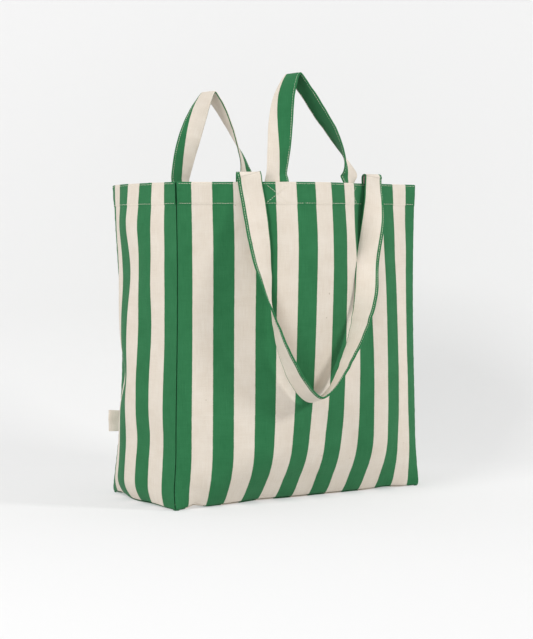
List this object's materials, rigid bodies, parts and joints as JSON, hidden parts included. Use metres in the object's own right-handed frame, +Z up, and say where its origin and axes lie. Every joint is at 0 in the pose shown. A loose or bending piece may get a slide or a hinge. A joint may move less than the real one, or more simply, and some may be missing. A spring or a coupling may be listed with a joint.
{
  "type": "canvas tote bag",
  "caption": "Box-shaped striped canvas tote bag with side gussets, two upright carry handles and two long shoulder straps draped over the rim.",
  "frame": {"origin": "middle of the bag's footprint, on the surface that it stands on", "axes": "+Z up; the front panel faces -Y; the left gusset, with the side label at its back edge, faces -X"},
  "size_m": [0.405, 0.3313, 0.5368],
  "materials": {
    "striped_canvas": "plain-weave cotton canvas with equal green and natural stripes, matt",
    "canvas_lining": "inner face of the same striped canvas, matt",
    "strap_canvas": "folded and top-stitched canvas strap, mostly the natural stripe, matt",
    "label_cotton": "plain woven cotton tape, blank"
  },
  "bodies": {
    "bag_body": {"front_panel": "striped_canvas", "back_panel": "striped_canvas", "left_gusset": "striped_canvas", "right_gusset": "striped_canvas", "bottom_panel": "canvas_lining", "front_hem": "canvas_lining", "back_hem": "canvas_lining", "left_hem": "canvas_lining", "right_hem": "canvas_lining", "front_left_seam": "canvas_lining", "front_right_seam": "canvas_lining", "back_left_seam": "canvas_lining", "back_right_seam": "canvas_lining", "front_short_end_left": "strap_canvas", "front_short_end_right": "strap_canvas", "front_long_end_left": "strap_canvas", "front_long_end_right": "strap_canvas", "back_short_end_left": "strap_canvas", "back_short_end_right": "strap_canvas", "back_long_end_left": "strap_canvas", "back_long_end_right": "strap_canvas"},
    "front_short_handle": {"front_short_handle": "striped_canvas"},
    "back_short_handle": {"back_short_handle": "striped_canvas"},
    "front_long_strap": {"front_long_strap": "strap_canvas"},
    "back_long_strap": {"back_long_strap": "strap_canvas"},
    "side_label": {"side_label": "label_cotton"}
  },
  "joints": [
    {"name": "front_short_handle_fold", "type": "hinge", "parent": "bag_body", "child": "front_short_handle", "pos_m": [-0.003, -0.1209, 0.41], "axis": [0.9978, 0.0659, 0], "range_deg": [-110, 80]},
    {"name": "back_short_handle_fold", "type": "hinge", "parent": "bag_body", "child": "back_short_handle", "pos_m": [-0.011, 0.11675, 0.41], "axis": [0.9928, 0.1201, 0], "range_deg": [-90, 110]},
    {"name": "front_long_strap_lift", "type": "hinge", "parent": "bag_body", "child": "front_long_strap", "pos_m": [0.001, -0.10923, 0.408], "axis": [0.9993, 0.038, 0], "range_deg": [-165, 0]},
    {"name": "back_long_strap_lift", "type": "hinge", "parent": "bag_body", "child": "back_long_strap", "pos_m": [-0.011, 0.10925, 0.4006], "axis": [0.9981, 0.0621, 0], "range_deg": [0, 165]},
    {"name": "side_label_swing", "type": "hinge", "parent": "bag_body", "child": "side_label", "pos_m": [-0.17678, 0.08078, 0.094], "axis": [0, 0, 1], "range_deg": [-60, 60]}
  ]
}
